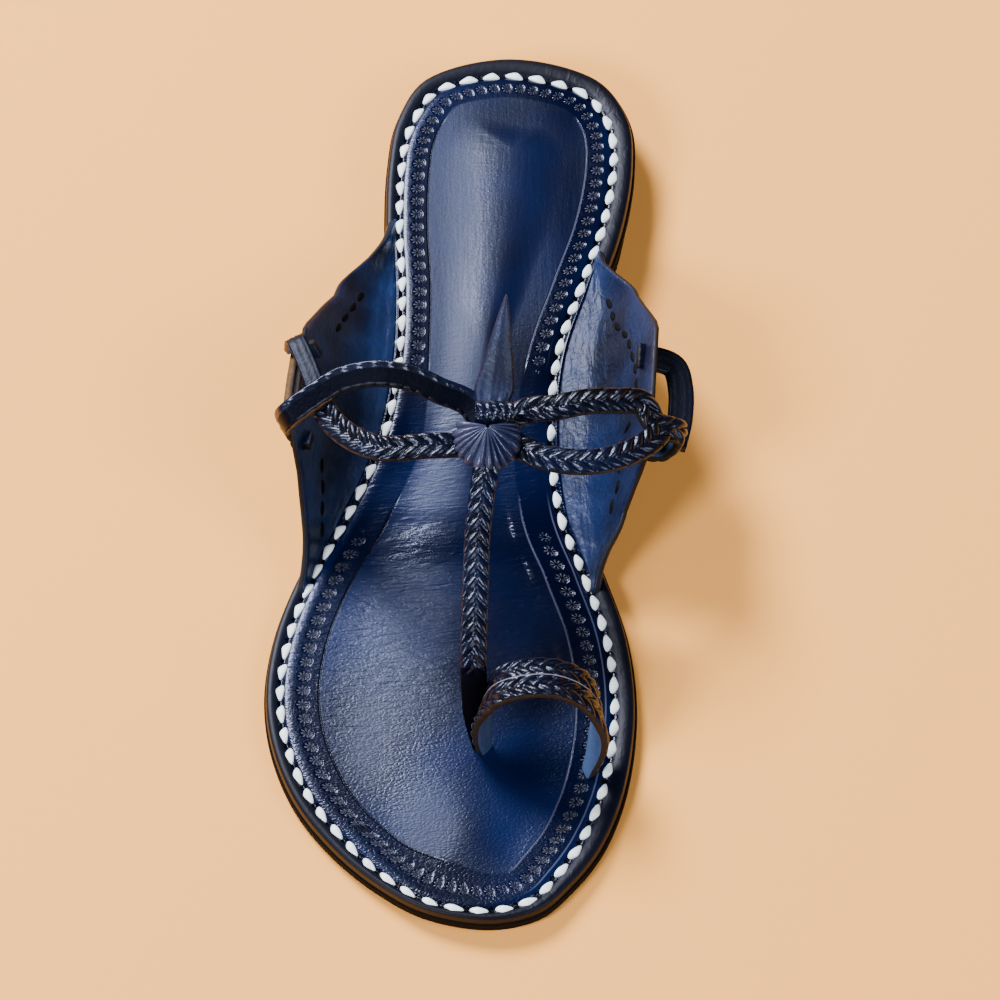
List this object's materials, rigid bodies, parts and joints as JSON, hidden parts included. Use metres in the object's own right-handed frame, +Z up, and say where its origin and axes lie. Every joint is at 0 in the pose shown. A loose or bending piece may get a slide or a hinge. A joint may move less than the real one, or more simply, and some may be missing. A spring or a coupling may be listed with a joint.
{
  "type": "kolhapuri sandal",
  "caption": "Flat leather sandal for the right foot: side ears carry braided instep straps that meet in a pleated knot, with a braided toe strap and toe ring",
  "frame": {"origin": "on the floor, under the ball of the foot, on the sandal's long axis", "axes": "+Z up, +Y from the toe to the heel, +X towards the big toe's side"},
  "size_m": [0.1042, 0.25, 0.0625],
  "materials": {
    "sole_leather": "dark dyed and burnished sole leather",
    "glazed_leather": "glazed navy footbed leather",
    "ear_leather": "soft navy leather with a light sheen",
    "braided_leather": "glossy blue-black braided thongs"
  },
  "bodies": {
    "root": {"outsole": "sole_leather", "heel": "sole_leather", "footbed": "glazed_leather", "ear_lateral": "ear_leather", "ear_medial": "ear_leather", "upper": "braided_leather", "rosette": "braided_leather", "tongue_point": "ear_leather"}
  },
  "joints": []
}
